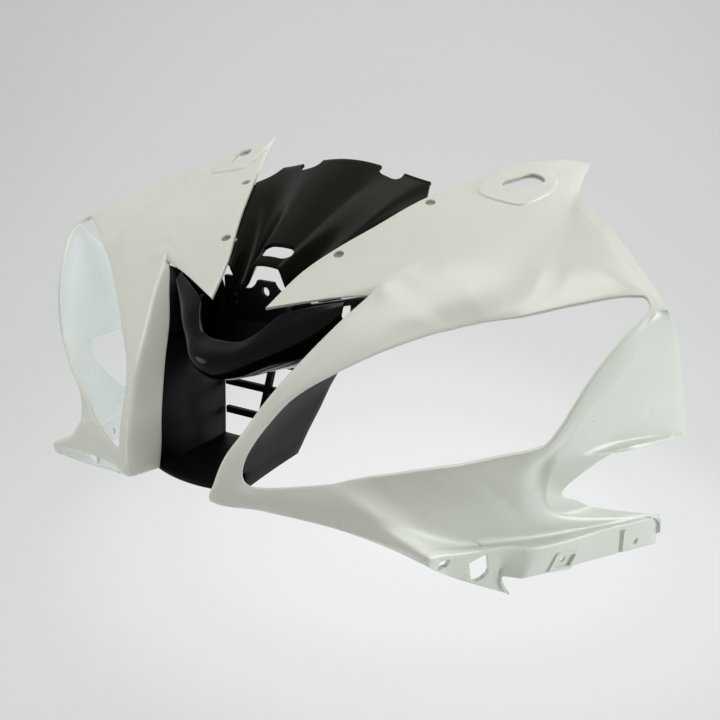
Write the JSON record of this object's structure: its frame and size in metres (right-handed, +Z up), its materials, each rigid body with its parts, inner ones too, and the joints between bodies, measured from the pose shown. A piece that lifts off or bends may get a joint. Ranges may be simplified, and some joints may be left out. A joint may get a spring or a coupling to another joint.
{
  "type": "motorcycle front fairing",
  "caption": "Upper front fairing: two white side mouldings frame the headlight openings, joined by a black intake duct, nose bridge, screen bed and stay bracket.",
  "frame": {"origin": "centre of the stay bolt hole, on the centre line of the motorcycle", "axes": "+X to the left side of the motorcycle, +Y to its rear, +Z up"},
  "size_m": [0.482, 0.308, 0.256],
  "materials": {
    "white_abs": "unpainted satin white moulding",
    "black_satin": "satin black",
    "black_gloss": "gloss black"
  },
  "bodies": {
    "root": {"left_cowl": "white_abs", "right_cowl": "white_abs", "intake_duct": "black_satin", "nose_bridge": "black_gloss", "intake_grille": "black_satin", "screen_bed": "black_satin", "stay_bracket": "black_satin", "left_vent_ribs": "black_gloss", "right_vent_ribs": "black_gloss"}
  },
  "joints": []
}
